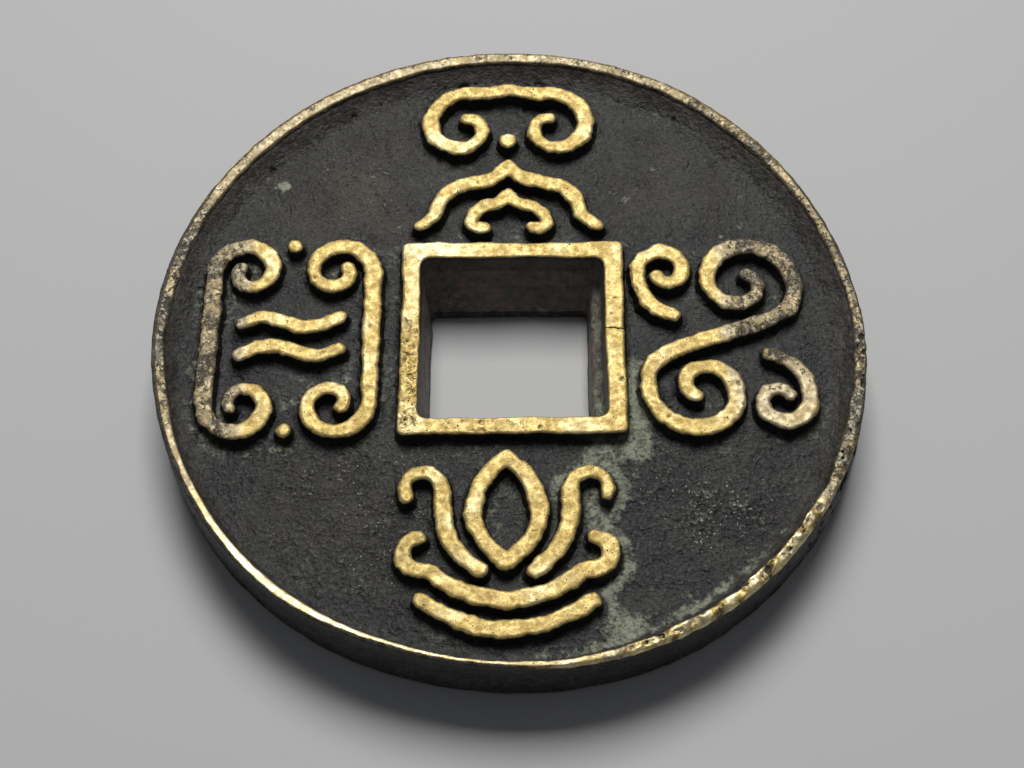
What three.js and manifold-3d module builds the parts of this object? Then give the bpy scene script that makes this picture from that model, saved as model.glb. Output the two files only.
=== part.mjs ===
// A cast cash coin: a round flan with a square hole, raised rims on both faces and four raised scroll ornaments.
// Millimetres, +Z up. The origin is the middle of the underside: the coin rests on its reverse rims at z = 0, obverse up.
import * as THREE from 'three';
import { mergeVertices } from 'three/addons/utils/BufferGeometryUtils.js';
import { ConvexGeometry } from 'three/addons/geometries/ConvexGeometry.js';
import Module from 'manifold-3d';

// ---------------------------------------------------------------- driving dimensions
const THICKNESS = 5.0; // over the rims of both faces
const REVERSE_RELIEF = 0.5; // the reverse rims stand this far out of the reverse field
const OBVERSE_RELIEF = 1.0; // the obverse rims and strokes stand this far out of the obverse field
const Z_REVERSE = REVERSE_RELIEF; // reverse field
const Z_FIELD = THICKNESS - OBVERSE_RELIEF; // obverse field

const R_EDGE_MID = 20.66; // outer wall, half way up
const R_EDGE_JOIN = 20.62; // outer wall at the level of each field
const R_EDGE_TOP = 20.54; // outer edge of the obverse rim's flat top
const R_EDGE_BOTTOM = 20.42; // outer edge of the reverse rim's flat
const RIM_LAND = 0.62; // flat top of the obverse outer rim
const RIM_SLOPE = 0.6; // the inner side of that rim spreads this far down to the field
const REVERSE_LAND = 1.5; // flat of the reverse outer rim
const REVERSE_SLOPE = 0.3;
const EDGE_SEGMENTS = 112;
// the hand-finished edge is out of round: [waves round the edge, cosine mm, sine mm]
const OUT_OF_ROUND = [[2, 0.09, -0.09], [3, -0.03, -0.05], [4, -0.02, -0.01], [5, 0.03, 0.01], [6, 0.03, -0.03]];

const HOLE_X = 0.27; // the hole sits a little off centre
const HOLE_Y = -0.23;
const FIELD_SHIFT = [0.1, -0.18]; // the ornaments sit off centre with it
const HOLE_TOP = [10.9, 10.75]; // across the hole at z = THICKNESS, along X and Y
// how far each wall of the hole leans in from the obverse down to the reverse
const LEAN = { far: 1.4, near: 0.2, left: 0.5, right: 0.95 };
const HOLE_CORNER = 0.35; // cut off each corner of the hole
const INNER_RIM = [13.15, 12.9]; // outside of the square frame round the hole, obverse
const INNER_RIM_CORNER = 0.45;
const REVERSE_INNER_RIM = [13.6, 13.4]; // the same on the reverse

const STROKE = 1.08; // usual width of a raised stroke
const FINE = 0.98; // width inside the tighter scrolls
const STEP = 0.5; // spacing of the points along a stroke
const END_STEPS = 5; // facets round each stroke end

// ---------------------------------------------------------------- solids
const wasm = await Module();
wasm.setup();

// only positions matter when a piece is cut or joined
const bare = (geometry) => {
  const g = geometry.clone();
  for (const name of Object.keys(g.attributes)) if (name !== 'position') g.deleteAttribute(name);
  return mergeVertices(g, 1e-4);
};

const toManifold = (geometry) => {
  const g = bare(geometry);
  return new wasm.Manifold(new wasm.Mesh({
    numProp: 3,
    vertProperties: new Float32Array(g.attributes.position.array),
    triVerts: new Uint32Array(g.index.array),
  }));
};

const fromManifold = (solid) => {
  const m = solid.getMesh();
  const g = new THREE.BufferGeometry();
  g.setAttribute('position', new THREE.BufferAttribute(new Float32Array(m.vertProperties), 3));
  g.setIndex(new THREE.BufferAttribute(new Uint32Array(m.triVerts), 1));
  g.computeVertexNormals();
  return g;
};

const swell = (a) => OUT_OF_ROUND.reduce((s, [k, c, d]) => s + c * Math.cos(k * a) + d * Math.sin(k * a), 0);

// the outline's own box is centred on the origin
const middle = (() => {
  let [x0, x1, y0, y1] = [0, 0, 0, 0];
  for (let i = 0; i < EDGE_SEGMENTS; i++) {
    const a = (i / EDGE_SEGMENTS) * 2 * Math.PI;
    const r = R_EDGE_MID + swell(a);
    x0 = Math.min(x0, r * Math.cos(a)); x1 = Math.max(x1, r * Math.cos(a));
    y0 = Math.min(y0, r * Math.sin(a)); y1 = Math.max(y1, r * Math.sin(a));
  }
  return [(x0 + x1) / 2, (y0 + y1) / 2];
})();

// a closed profile of [radius, z] turned round the coin's axis, then moved out of round
const turned = (profile) => {
  const g = new THREE.LatheGeometry(profile.map(([r, z]) => new THREE.Vector2(r, z)), EDGE_SEGMENTS);
  g.rotateX(Math.PI / 2); // the lathe's axis is +Y
  const p = g.attributes.position;
  for (let i = 0; i < p.count; i++) {
    const x = p.getX(i), y = p.getY(i), r = Math.hypot(x, y);
    const k = r < 1e-6 ? 0 : (r + swell(Math.atan2(y, x))) / r;
    p.setXY(i, x * k - (k ? middle[0] : 0), y * k - (k ? middle[1] : 0));
  }
  // exact levels, so that stacked pieces share one plane
  for (let i = 0; i < p.count; i++) p.setZ(i, Math.round(p.getZ(i) * 1000) / 1000);
  return g;
};

const rectangle = (across, down, corner, x = 0, y = 0) => {
  const [a, b] = [across / 2, down / 2];
  return [[a, -b + corner], [a, b - corner], [a - corner, b], [-a + corner, b], [-a, b - corner], [-a, -b + corner], [-a + corner, -b], [a - corner, -b]]
    .map(([u, v]) => [u + x, v + y]);
};

const prism = (outline, z0, z1) => {
  const g = new THREE.ExtrudeGeometry(new THREE.Shape(outline.map(([x, y]) => new THREE.Vector2(x, y))), {
    depth: z1 - z0, bevelEnabled: false, steps: 1,
  });
  const p = g.attributes.position;
  for (let i = 0; i < p.count; i++) p.setZ(i, p.getZ(i) < (z1 - z0) / 2 ? z0 : z1);
  return g;
};

// the hole is one tapering prism through the whole coin
const holeAt = (z) => {
  const k = (THICKNESS - z) / THICKNESS; // 0 at the obverse, 1 at the reverse
  const [h, v] = [HOLE_TOP[0] / 2, HOLE_TOP[1] / 2];
  const [x0, x1] = [HOLE_X - h + LEAN.left * k, HOLE_X + h - LEAN.right * k];
  const [y0, y1] = [HOLE_Y - v + LEAN.near * k, HOLE_Y + v - LEAN.far * k];
  return rectangle(x1 - x0, y1 - y0, HOLE_CORNER, (x0 + x1) / 2, (y0 + y1) / 2);
};
const HOLE_SOLID = toManifold(new ConvexGeometry([-1, THICKNESS + 1].flatMap((z) => holeAt(z).map(([x, y]) => new THREE.Vector3(x, y, z)))));

// ---------------------------------------------------------------- raised strokes
const arc = (cx, cy, rx, ry, from, to, n = 24) => Array.from({ length: n + 1 }, (_, i) => {
  const a = ((from + ((to - from) * i) / n) * Math.PI) / 180;
  return [cx + rx * Math.cos(a), cy + ry * Math.sin(a)];
});
// a scroll: radius r0 at angle from, r1 at angle to
const scroll = (cx, cy, r0, r1, from, to, n = 30) => Array.from({ length: n + 1 }, (_, i) => {
  const t = i / n;
  const a = ((from + (to - from) * t) * Math.PI) / 180;
  const r = r0 + (r1 - r0) * t;
  return [cx + r * Math.cos(a), cy + r * Math.sin(a)];
});
const flipX = (path, about = 0) => path.map(([x, y]) => [2 * about - x, y]);
const flipY = (path, about = 0) => path.map(([x, y]) => [x, 2 * about - y]);
const halfTurn = (path, cx, cy) => path.map(([x, y]) => [2 * cx - x, 2 * cy - y]);
const shift = (path, dx, dy) => path.map(([x, y]) => [x + dx, y + dy]);

// even points along a smooth line through the given ones
const smooth = (path, closed = false) => {
  const curve = new THREE.CatmullRomCurve3(path.map(([x, y]) => new THREE.Vector3(x, y, 0)), closed, 'centripetal');
  const n = Math.max(2, Math.round(curve.getLength() / STEP));
  return curve.getSpacedPoints(n).map((p) => [p.x, p.y]);
};

// the outline of a stroke of changing width with round ends
const strokeOutline = (path, w0, w1, wm) => {
  const pts = smooth(path);
  const n = pts.length - 1;
  const left = [], right = [];
  const dir = (i) => {
    const [a, b] = [pts[Math.max(0, i - 1)], pts[Math.min(n, i + 1)]];
    const l = Math.hypot(b[0] - a[0], b[1] - a[1]);
    return [(b[0] - a[0]) / l, (b[1] - a[1]) / l];
  };
  const half = (i) => {
    const t = i / n;
    return (t < 0.5 ? w0 + (wm - w0) * 2 * t : wm + (w1 - wm) * (2 * t - 1)) / 2;
  };
  for (let i = 0; i <= n; i++) {
    const [dx, dy] = dir(i), h = half(i);
    left.push([pts[i][0] - dy * h, pts[i][1] + dx * h]);
    right.push([pts[i][0] + dy * h, pts[i][1] - dx * h]);
  }
  const cap = (i, sign) => {
    const [dx, dy] = dir(i), h = half(i), out = [];
    for (let k = 1; k < END_STEPS; k++) {
      const a = (k / END_STEPS) * Math.PI;
      // from the right side over the tip to the left at the far end, the other way round at the near end
      const [c, s] = [Math.cos(a) * sign, Math.sin(a) * sign];
      out.push([pts[i][0] + (dy * c + dx * s) * h, pts[i][1] + (-dx * c + dy * s) * h]);
    }
    return out;
  };
  return [...right, ...cap(n, 1), ...left.reverse(), ...cap(0, -1)];
};

const bar = (path, w0 = STROKE, w1 = w0, wm = Math.max(w0, w1)) =>
  toManifold(prism(strokeOutline(path, w0, w1, wm), Z_FIELD, THICKNESS));
const boss = (x, y, r, n = 14) => toManifold(prism(arc(x, y, r, r, 0, 360 - 360 / n, n - 1), Z_FIELD, THICKNESS));
const joined = (...solids) => solids.reduce((a, b) => a.add(b));

// ---------------------------------------------------------------- the four ornaments
const ornaments = {};

// above the hole: a cloud head of two scrolls with a pearl, and below it two pointed arches with flared and turned-in feet
{
  const c = -0.05;
  const pair = (path, ...w) => joined(bar(path, ...w), bar(flipX(path, c), ...w));
  ornaments.cloud_head_top = pair([[c, 17.8], [c - 1.35, 17.55], ...scroll(c - 2.72, 14.95, 2.6, 0.62, 88, 440, 26)], STROKE, 0.9, 1.14);
  ornaments.cloud_pearl_top = boss(c, 13.85, 0.6);
  ornaments.arch_outer_top = pair([[c, 12.0], [c - 0.75, 11.15], [c - 2.1, 10.75], [c - 3.45, 10.3], [c - 4.15, 9.35], [c - 4.45, 8.35], [c - 5.3, 7.62]], 1.12, 0.95, 1.14);
  ornaments.arch_inner_top = pair([[c, 9.95], [c - 0.55, 9.2], [c - 1.6, 8.95], [c - 2.2, 8.3], [c - 2.3, 7.55], [c - 1.45, 7.5]], FINE, 0.92, 1.04);
}

// left of the hole: two tall C scrolls face each other round two wave bars and two pearls
{
  const [c, m] = [-12.8, 0.0];
  const upper = shift([[-4.72, 0], [-4.72, 1.6], [-4.7, 3.2], ...scroll(-2.62, 4.45, 2.1, 0.6, 180, -205, 26)], c, m);
  const tall = joined(bar(upper, 1.1, 0.9, 1.12), bar(flipY(upper, m), 1.1, 0.9, 1.12));
  ornaments.c_scroll_outer_left = tall;
  ornaments.c_scroll_inner_left = joined(bar(flipX(upper, c), 1.1, 0.9, 1.12), bar(flipX(flipY(upper, m), c), 1.1, 0.9, 1.12));
  const wave = shift([[-2.85, 0.85], [-1.7, 1.35], [-0.5, 1.05], [0.6, 0.65], [1.75, 0.75], [2.85, 1.25]], c, m);
  ornaments.wave_bar_upper_left = bar(wave, 0.95, 0.95, 1.05);
  ornaments.wave_bar_lower_left = bar(halfTurn(wave, c, m), 0.95, 0.95, 1.05);
  ornaments.pearl_upper_left = boss(c, m + 6.2, 0.52);
  ornaments.pearl_lower_left = boss(c, m - 6.2, 0.52);
}

// right of the hole: one large S scroll with a comma cloud in each free corner
{
  const [c, m] = [12.35, -0.05];
  const half = shift([[0, 0], [1.6, 0.55], [3.1, 1.15], ...scroll(1.35, 3.55, 3.22, 0.6, -28, 412, 34)], c, m);
  ornaments.s_scroll_right = joined(bar(half, STROKE, 0.92, 1.16), bar(halfTurn(half, c, m), STROKE, 0.92, 1.16));
  const comma = shift([...scroll(-3.15, 4.35, 0.62, 1.62, -150, 178, 16), [-4.62, 3.0], [-3.9, 1.9], [-2.7, 1.3]], c, m);
  ornaments.comma_cloud_upper_right = bar(comma, 0.92, 0.95, 1.12);
  ornaments.comma_cloud_lower_right = bar(halfTurn(comma, c, m), 0.92, 0.95, 1.12);
}

// below the hole: a lotus with a ringed middle petal, two curling petals on each side and a cup
{
  const [c, m] = [-0.2, -12.9];
  const both = (path, ...w) => [bar(path, ...w), bar(flipX(path, c), ...w)];
  const side = shift([[0, 5.1], [-0.85, 4.2], [-1.6, 2.9], [-1.85, 1.5], [-1.3, 0.0], [0, -1.3]], c, m);
  ornaments.lotus_petal_middle = joined(...both(side, STROKE));
  const petal = shift([[-1.55, -1.75], [-2.75, -0.6], [-3.45, 0.9], [-3.55, 2.2], ...scroll(-4.7, 3.05, 1.12, 0.95, 12, 205, 12)], c, m);
  [ornaments.lotus_petal_left, ornaments.lotus_petal_right] = both(petal, STROKE, 0.95, 1.14);
  const cup = shift([[0, -3.55], [-1.9, -3.2], [-3.6, -2.35], ...scroll(-4.75, -0.6, 1.3, 0.75, -65, -265, 12)], c, m);
  ornaments.lotus_cup = joined(...both(cup, 1.1, 0.95, 1.14));
  const root = shift([[0, -5.2], [-1.6, -5.0], [-3.1, -4.45], [-4.6, -3.55]], c, m);
  ornaments.lotus_root_wave = joined(...both(root, 1.1, 0.95, 1.1));
}

// ---------------------------------------------------------------- the coin
const brass = { color: 0xc79a4b, roughness: 0.42, metalness: 1.0 };
const dark = { color: 0x2b2a27, roughness: 0.62, metalness: 0.6 };
const coin = new THREE.Group();
const add = (name, geometry, finish) => {
  const mesh = new THREE.Mesh(geometry, new THREE.MeshStandardMaterial(finish));
  mesh.name = name;
  coin.add(mesh);
};

add('flan', fromManifold(toManifold(turned([
  [0, Z_REVERSE], [R_EDGE_JOIN, Z_REVERSE], [R_EDGE_MID, THICKNESS / 2], [R_EDGE_JOIN, Z_FIELD], [0, Z_FIELD],
])).subtract(HOLE_SOLID)), dark);

const rimInner = R_EDGE_TOP - RIM_LAND;
add('obverse_outer_rim', fromManifold(toManifold(turned([
  [rimInner - RIM_SLOPE, Z_FIELD], [R_EDGE_JOIN, Z_FIELD], [R_EDGE_TOP, THICKNESS], [rimInner, THICKNESS], [rimInner - RIM_SLOPE, Z_FIELD],
]))), brass);

const reverseInner = R_EDGE_BOTTOM - REVERSE_LAND;
add('reverse_outer_rim', fromManifold(toManifold(turned([
  [reverseInner - REVERSE_SLOPE, Z_REVERSE], [reverseInner, 0], [R_EDGE_BOTTOM, 0], [R_EDGE_JOIN, Z_REVERSE], [reverseInner - REVERSE_SLOPE, Z_REVERSE],
]))), dark);

add('obverse_inner_rim', fromManifold(toManifold(
  prism(rectangle(...INNER_RIM, INNER_RIM_CORNER, HOLE_X, HOLE_Y), Z_FIELD, THICKNESS)).subtract(HOLE_SOLID)), brass);
add('reverse_inner_rim', fromManifold(toManifold(
  prism(rectangle(...REVERSE_INNER_RIM, INNER_RIM_CORNER, HOLE_X, HOLE_Y), 0, Z_REVERSE)).subtract(HOLE_SOLID)), dark);

for (const [name, solid] of Object.entries(ornaments)) add(name, fromManifold(solid.translate([...FIELD_SHIFT, 0])), brass);

export default coin;
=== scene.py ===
import math

import bpy
import numpy as np
from mathutils import Matrix


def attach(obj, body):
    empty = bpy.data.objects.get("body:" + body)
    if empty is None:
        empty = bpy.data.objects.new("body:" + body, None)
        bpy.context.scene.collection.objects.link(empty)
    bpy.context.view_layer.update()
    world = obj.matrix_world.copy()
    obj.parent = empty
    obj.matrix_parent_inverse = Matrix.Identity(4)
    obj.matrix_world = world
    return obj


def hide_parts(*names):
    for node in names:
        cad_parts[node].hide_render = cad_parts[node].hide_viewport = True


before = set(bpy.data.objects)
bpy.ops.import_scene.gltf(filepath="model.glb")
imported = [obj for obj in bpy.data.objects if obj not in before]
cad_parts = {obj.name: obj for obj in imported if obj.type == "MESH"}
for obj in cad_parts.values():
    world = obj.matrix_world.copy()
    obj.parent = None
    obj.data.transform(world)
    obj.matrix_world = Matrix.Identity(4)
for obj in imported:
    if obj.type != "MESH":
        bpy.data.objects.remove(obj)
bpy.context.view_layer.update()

# Every length in the mesh code is in millimetres and is turned into metres when a mesh is made.
F32 = np.float32
THICKNESS, Z_FIELD, Z_REVERSE = 5.0, 4.0, 0.5
# the hole, as the solids have it: centre, size at the obverse, and how far each wall leans in below it
HOLE_X, HOLE_Y, HOLE_W, HOLE_D = 0.27, -0.23, 10.9, 10.75
LEAN_FAR, LEAN_NEAR, LEAN_LEFT, LEAN_RIGHT = 1.4, 0.2, 0.5, 0.95
INNER_RIM = (13.15, 12.9)
REVERSE_INNER_RIM = (13.6, 13.4)


# ---------------------------------------------------------------- noise
_rng = np.random.RandomState(20)
_LATTICE = _rng.rand(64, 64, 64).astype(F32) * 2 - 1
_TURN = np.array([[0.36, 0.48, -0.8], [-0.8, 0.6, 0.0], [0.48, 0.64, 0.6]], F32)


def noise(x, y, z, wave, seed=0):
    """Smooth value noise from -1 to 1, with lumps about wave mm across."""
    s = F32(1.0 / wave)
    x, y, z = (np.asarray(v, F32) for v in (x, y, z))
    q = [(_TURN[i, 0] * x + _TURN[i, 1] * y + _TURN[i, 2] * z) * s + F32(17.13 * (i + 1) + 7.77 * seed) for i in range(3)]
    lo = [np.floor(v) for v in q]
    f = [v - w for v, w in zip(q, lo)]
    f = [v * v * (3 - 2 * v) for v in f]
    a = [w.astype(np.int32) & 63 for w in lo]
    b = [(w + 1) & 63 for w in a]
    out = 0
    for i in (0, 1):
        wx = f[0] if i else 1 - f[0]
        ix = b[0] if i else a[0]
        for j in (0, 1):
            wy = f[1] if j else 1 - f[1]
            iy = b[1] if j else a[1]
            for k in (0, 1):
                wz = f[2] if k else 1 - f[2]
                iz = b[2] if k else a[2]
                out = out + wx * wy * wz * _LATTICE[ix, iy, iz]
    return out


def step(lo, hi, v):
    t = np.clip((v - lo) / (hi - lo), 0, 1)
    return t * t * (3 - 2 * t)


def near_angle(a, centre, width):
    """1 at that direction from the coin's centre (degrees), fading to 0 width degrees away."""
    d = (a - centre + 180) % 360 - 180
    return np.clip(1 - np.abs(d) / width, 0, 1)


# ---------------------------------------------------------------- meshing
_CORNERS = [(i, j, k) for i in (0, 1) for j in (0, 1) for k in (0, 1)]
_EDGES = [(a, b) for a in range(8) for b in range(a + 1, 8) if sum(x != y for x, y in zip(_CORNERS[a], _CORNERS[b])) == 1]


def surface_nets(f, origin, pitch):
    """A closed quad mesh of the places where f changes sign. f is below 0 inside."""
    s = f < 0
    nx, ny, nz = f.shape
    count = sum(s[i:nx - 1 + i, j:ny - 1 + j, k:nz - 1 + k].astype(np.int8) for i, j, k in _CORNERS)
    active = (count > 0) & (count < 8)
    ids = np.full(active.shape, -1, np.int32)
    ai, aj, ak = np.nonzero(active)
    ids[ai, aj, ak] = np.arange(len(ai), dtype=np.int32)
    vals = [f[ai + i, aj + j, ak + k] for i, j, k in _CORNERS]
    pos, n = np.zeros((len(ai), 3), F32), np.zeros(len(ai), F32)
    for a, b in _EDGES:
        va, vb = vals[a], vals[b]
        m = (va < 0) != (vb < 0)
        t = (va[m] / (va[m] - vb[m]))[:, None]
        ca, cb = np.array(_CORNERS[a], F32), np.array(_CORNERS[b], F32)
        pos[m] += ca + (cb - ca) * t
        n[m] += 1
    verts = (np.stack([ai, aj, ak], 1) + pos / n[:, None]) * np.array(pitch, F32) + np.array(origin, F32)
    quads = []
    for axis in range(3):
        u, v = [(1, 2), (2, 0), (0, 1)][axis]
        lo, hi = [slice(None)] * 3, [slice(None)] * 3
        lo[axis], hi[axis] = slice(0, -1), slice(1, None)
        for w in (u, v):
            lo[w] = hi[w] = slice(1, -1)
        sa, sb = s[tuple(lo)], s[tuple(hi)]
        cut = sa != sb
        at = list(np.nonzero(cut))
        flip = ~sa[tuple(at)]
        at[u], at[v] = at[u] + 1, at[v] + 1

        def cell(du, dv):
            c = list(at)
            c[u], c[v] = c[u] + du, c[v] + dv
            return ids[tuple(c)]

        q = np.stack([cell(-1, -1), cell(0, -1), cell(0, 0), cell(-1, 0)], 1)
        q[flip] = q[flip][:, ::-1]
        quads.append(q)
    return verts, np.concatenate(quads)


def one_body(verts, quads):
    """Only the largest connected surface is kept, so no crumbs float beside it."""
    label = np.arange(len(verts))
    e = np.concatenate([quads[:, [0, 1]], quads[:, [1, 2]], quads[:, [2, 3]]])
    for _ in range(400):
        m = np.minimum(label[e[:, 0]], label[e[:, 1]])
        new = label.copy()
        np.minimum.at(new, e[:, 0], m)
        np.minimum.at(new, e[:, 1], m)
        new = new[new]
        if (new == label).all():
            break
        label = new
    main = np.bincount(label).argmax()
    keep = label == main
    index = np.cumsum(keep) - 1
    return verts[keep], index[quads[keep[quads[:, 0]]]]


def box_distance(x, y, cx, cy, hw, hd, r):
    """Distance to the outline of a rectangle with round corners, below 0 inside."""
    qx, qy = np.abs(x - cx) - (hw - r), np.abs(y - cy) - (hd - r)
    return np.hypot(np.maximum(qx, 0), np.maximum(qy, 0)) + np.minimum(np.maximum(qx, qy), 0) - r


def meet(a, b, r):
    """Both solids at once, with the edge between them rounded to radius r."""
    u, v = a + r, b + r
    return np.minimum(np.maximum(u, v), 0) + np.hypot(np.maximum(u, 0), np.maximum(v, 0)) - r


def grid(lo, hi, pitch):
    pitch = np.broadcast_to(np.array(pitch, float), 3)
    n = [int(math.ceil((b - a) / p)) + 1 for a, b, p in zip(lo, hi, pitch)]
    axes = [(a + p * np.arange(m)).astype(F32) for a, p, m in zip(lo, pitch, n)]
    return axes, pitch


# ---------------------------------------------------------------- the outline and the hole
def cad_edge(node):
    """Radius of the coin's outline against angle, at each level of a node of the frame."""
    co = np.array([v.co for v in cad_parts[node].data.vertices]) * 1000
    r = np.hypot(co[:, 0], co[:, 1])
    co = co[r > 19.9]
    rows = {}
    for z in np.unique(np.round(co[:, 2], 3)):
        c = co[np.abs(co[:, 2] - z) < 2e-3]
        a, rr = np.arctan2(c[:, 1], c[:, 0]), np.hypot(c[:, 0], c[:, 1])
        o = np.argsort(a)
        rows[float(z)] = (np.concatenate([a[o] - 2 * np.pi, a[o], a[o] + 2 * np.pi]), np.tile(rr[o], 3))
    return rows


EDGE = cad_edge("flan")
EDGE_Z = sorted(EDGE)
EDGE_MID = EDGE[min(EDGE_Z, key=lambda z: abs(z - 2.5))]


def edge_radius(x, y):
    """Radius of the outline; the battered lower right is spread outwards a little."""
    a = np.arctan2(y, x)
    return (np.interp(a, *EDGE_MID) + 0.12 * step(0.0, 0.6, near_angle(np.degrees(a) % 360, 320, 34))).astype(F32)


def swell(x, y, z):
    """How far the coin's edge stands out under its upper corner: most on the right, a little on the left."""
    a = np.degrees(np.arctan2(y, x)) % 360
    out = 0.24 * step(0.0, 1.0, near_angle(a, 338, 34)) + 0.12 * step(0.0, 1.0, near_angle(a, 202, 30))
    room = np.minimum((20.72 - np.abs(x)) / np.maximum(np.abs(np.cos(np.radians(a))), 0.05), (20.46 - np.abs(y)) / np.maximum(np.abs(np.sin(np.radians(a))), 0.05))
    return np.clip(np.minimum(out * step(4.75, 2.9, z), room + np.hypot(x, y) - edge_radius(x, y)), 0, 1)


def hole_distance(x, y, z):
    """Distance to the walls of the square hole, below 0 inside the hole."""
    k = (THICKNESS - z) / THICKNESS
    # each wall stays steep under the obverse and leans in further down; the right one has a ledge
    bend = k * k * (3 - 2 * k) * 0.55 + k * 0.45
    ledge = 0.62 * step(0.42, 0.5, k) + 0.38 * k
    x0 = HOLE_X - HOLE_W / 2 + LEAN_LEFT * bend
    x1 = HOLE_X + HOLE_W / 2 - LEAN_RIGHT * ledge
    y0 = HOLE_Y - HOLE_D / 2 + LEAN_NEAR * k
    y1 = HOLE_Y + HOLE_D / 2 - LEAN_FAR * bend
    r = 0.62 - 0.2 * k
    qx = np.maximum(x0 - x, x - x1) + r
    qy = np.maximum(y0 - y, y - y1) + r
    d = np.hypot(np.maximum(qx, 0), np.maximum(qy, 0)) + np.minimum(np.maximum(qx, qy), 0) - r
    return d + 0.07 * noise(x, y, z * 0.4, 2.3, 1) + 0.03 * noise(x, y, z * 0.5, 0.7, 2)


# ---------------------------------------------------------------- outlines of the raised strokes
def top_outline(node):
    """The edges round the flat top of a stroke's solid, with their corners rounded off, as line segments."""
    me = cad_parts[node].data
    co = np.array([v.co for v in me.vertices]) * 1000
    key = {}
    for p in np.round(co, 3):
        key.setdefault(tuple(p), len(key))
    ids = [key[tuple(p)] for p in np.round(co, 3)]
    pts = np.array(sorted(key, key=key.get))
    edges = set()
    for p in me.polygons:
        v = [ids[i] for i in p.vertices]
        if all(abs(pts[i][2] - THICKNESS) < 2e-3 for i in v):
            edges.update((a, b) for a, b in zip(v, v[1:] + v[:1]) if a != b)
    after = {}
    for a, b in sorted(edges):
        if (b, a) not in edges:
            after.setdefault(a, []).append(b)
    out = []
    while after:
        at = start = next(iter(after))
        loop = []
        while at in after:
            loop.append(pts[at][:2])
            to = after[at].pop()
            if not after[at]:
                del after[at]
            at = to
            if at == start:
                break
        line = []
        for p, q in zip(loop, loop[1:] + loop[:1]):
            n = max(1, math.ceil(float(np.hypot(*(q - p))) / 0.9))
            line += [p + (q - p) * k / n for k in range(n)]
        line = np.array(line)
        for _ in range(2):
            nxt = np.roll(line, -1, 0)
            line = np.stack([line * 0.75 + nxt * 0.25, line * 0.25 + nxt * 0.75], 1).reshape(-1, 2)
        out.append(np.stack([line, np.roll(line, -1, 0)], 1))
    return np.concatenate(out).astype(F32)


def outline_distance(seg, x, y):
    """Distance to an outline of segments, below 0 inside it."""
    ax, ay, bx, by = seg[:, 0, 0], seg[:, 0, 1], seg[:, 1, 0], seg[:, 1, 1]
    px, py = x.ravel(), y.ravel()
    best = np.full(px.shape, 1e9, F32)
    inside = np.zeros(px.shape, bool)
    for i in range(len(seg)):
        dx, dy = bx[i] - ax[i], by[i] - ay[i]
        t = np.clip(((px - ax[i]) * dx + (py - ay[i]) * dy) / (dx * dx + dy * dy + 1e-12), 0, 1)
        best = np.minimum(best, (px - ax[i] - t * dx) ** 2 + (py - ay[i] - t * dy) ** 2)
        c = (ay[i] > py) != (by[i] > py)
        if dy:
            inside ^= c & (px < ax[i] + (py - ay[i]) / dy * dx)
    d = np.sqrt(best)
    return np.where(inside, -d, d).reshape(x.shape).astype(F32)


FIXED = {"flan", "obverse_outer_rim", "obverse_inner_rim", "reverse_outer_rim", "reverse_inner_rim"}
STROKES = sorted(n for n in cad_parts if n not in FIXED)
OUTLINES = {n: top_outline(n) for n in STROKES}

# a map over the obverse field of how far the nearest raised stroke is
MAP_STEP = 0.1
_ax = np.arange(-21, 21 + MAP_STEP, MAP_STEP).astype(F32)
_gx, _gy = np.meshgrid(_ax, _ax, indexing="ij")
STROKE_MAP = np.full(_gx.shape, 9.0, F32)
for _seg in OUTLINES.values():
    _lo, _hi = _seg.reshape(-1, 2).min(0) - 2.5, _seg.reshape(-1, 2).max(0) + 2.5
    _i = slice(*np.searchsorted(_ax, [_lo[0], _hi[0]]))
    _j = slice(*np.searchsorted(_ax, [_lo[1], _hi[1]]))
    STROKE_MAP[_i, _j] = np.minimum(STROKE_MAP[_i, _j], outline_distance(_seg, _gx[_i, _j], _gy[_i, _j]))


def stroke_distance(x, y):
    i = np.clip((x + 21) / MAP_STEP, 0, len(_ax) - 1.001)
    j = np.clip((y + 21) / MAP_STEP, 0, len(_ax) - 1.001)
    i0, j0 = i.astype(int), j.astype(int)
    u, v = i - i0, j - j0
    m = STROKE_MAP
    return (m[i0, j0] * (1 - u) + m[i0 + 1, j0] * u) * (1 - v) + (m[i0, j0 + 1] * (1 - u) + m[i0 + 1, j0 + 1] * u) * v


def rim_distance(x, y):
    """Distance in the field to the nearer of the two rims."""
    outer = edge_radius(x, y) - 0.95 - np.hypot(x, y)
    inner = box_distance(x, y, HOLE_X, HOLE_Y, INNER_RIM[0] / 2, INNER_RIM[1] / 2, 0.4)
    return np.minimum(outer, inner)


# ---------------------------------------------------------------- fine relief shared by every piece
def field_relief(x, y, z):
    """Cast grain of the field: broad waves, lumps and grains."""
    lumps = step(0.35, 0.75, noise(x, y, z, 0.62, 9))
    return (0.040 * noise(x, y, z, 2.6, 3) + 0.030 * noise(x, y, z, 0.9, 4)
            + 0.036 * noise(x, y, z, 0.44, 5) + 0.030 * noise(x, y, z, 0.27, 6) + 0.045 * lumps)


def skin(x, y, z):
    """The same casting's skin on rims and strokes."""
    return 0.016 * noise(x, y, z, 0.5, 7) + 0.012 * noise(x, y, z, 0.22, 8)


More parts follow.
